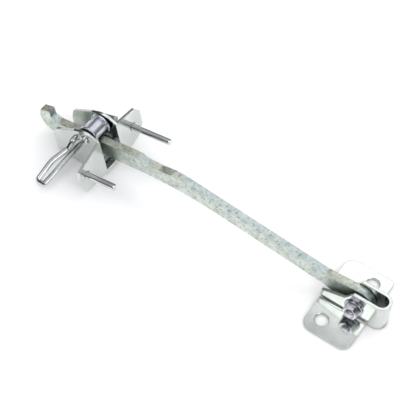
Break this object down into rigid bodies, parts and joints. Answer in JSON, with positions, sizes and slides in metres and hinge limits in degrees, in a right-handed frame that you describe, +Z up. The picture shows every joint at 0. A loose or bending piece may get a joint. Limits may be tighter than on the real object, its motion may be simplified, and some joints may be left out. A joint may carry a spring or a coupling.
{
  "type": "door check",
  "caption": "Vehicle door check: a bent detent arm hinged in a U-shaped pillar bracket, running through a roller carriage with flange studs and a hairpin spring.",
  "frame": {"origin": "midway between the two bolt holes of the pillar bracket, on the underside of its feet", "axes": "+X along the arm from the hooked end to the pillar bracket, +Y across the arm towards the far foot, +Z up from the feet"},
  "size_m": [0.3643, 0.1053, 0.0474],
  "materials": {
    "bracket_zinc": "bright zinc-plated pressed sheet",
    "arm_steel": "rough zinc-plated forging",
    "bright_steel": "polished",
    "roller_steel": "polished, turned",
    "pivot_steel": "zinc-plated",
    "bush_bronze": "sintered bronze"
  },
  "bodies": {
    "pillar": {"pillar_bracket": "bracket_zinc", "pivot_bolt": "pivot_steel", "pivot_nut": "pivot_steel", "pivot_washers": "pivot_steel"},
    "arm": {"check_arm": "arm_steel", "arm_bush": "pivot_steel", "eye_spacer": "pivot_steel"},
    "roller_pin": {"upper_axle": "bright_steel", "upper_spacers": "pivot_steel"},
    "upper_wheel": {"upper_roller": "roller_steel", "upper_roller_bush": "bush_bronze"},
    "housing": {"carriage_bracket": "bracket_zinc", "lower_axle": "bright_steel", "lower_spacers": "pivot_steel", "spring_wire": "bright_steel", "near_stud": "bright_steel", "far_stud": "bright_steel"},
    "lower_wheel": {"lower_roller": "roller_steel", "lower_roller_bush": "bush_bronze"}
  },
  "joints": [
    {"name": "arm_swing", "type": "hinge", "parent": "pillar", "child": "arm", "pos_m": [0.0095, 0, 0.015], "axis": [0, 1, 0], "range_deg": [0, 80]},
    {"name": "carriage_travel", "type": "hinge", "parent": "arm", "child": "roller_pin", "pos_m": [-0.16375, 0.002, -0.4242], "axis": [0, 1, 0], "range_deg": [-0.73, 21.82]},
    {"name": "housing_tilt", "type": "hinge", "parent": "roller_pin", "child": "housing", "pos_m": [-0.26604, 0.002, 0.0372], "axis": [0, 1, 0], "range_deg": [-5.6, 0.3]},
    {"name": "upper_wheel_spin", "type": "hinge", "parent": "roller_pin", "child": "upper_wheel", "pos_m": [-0.26604, 0.002, 0.0372], "axis": [0, 1, 0], "range_deg": [-44.6, 1335.3]},
    {"name": "lower_wheel_spin", "type": "hinge", "parent": "housing", "child": "lower_wheel", "pos_m": [-0.26044, 0.002, 0.00701], "axis": [0, 1, 0], "range_deg": [-2040.9, 68.1]}
  ],
  "couplings": [
    {"joint": "housing_tilt", "follows": "carriage_travel", "ratio": -0.25},
    {"joint": "upper_wheel_spin", "follows": "carriage_travel", "ratio": 61.184},
    {"joint": "lower_wheel_spin", "follows": "carriage_travel", "ratio": -93.52}
  ]
}
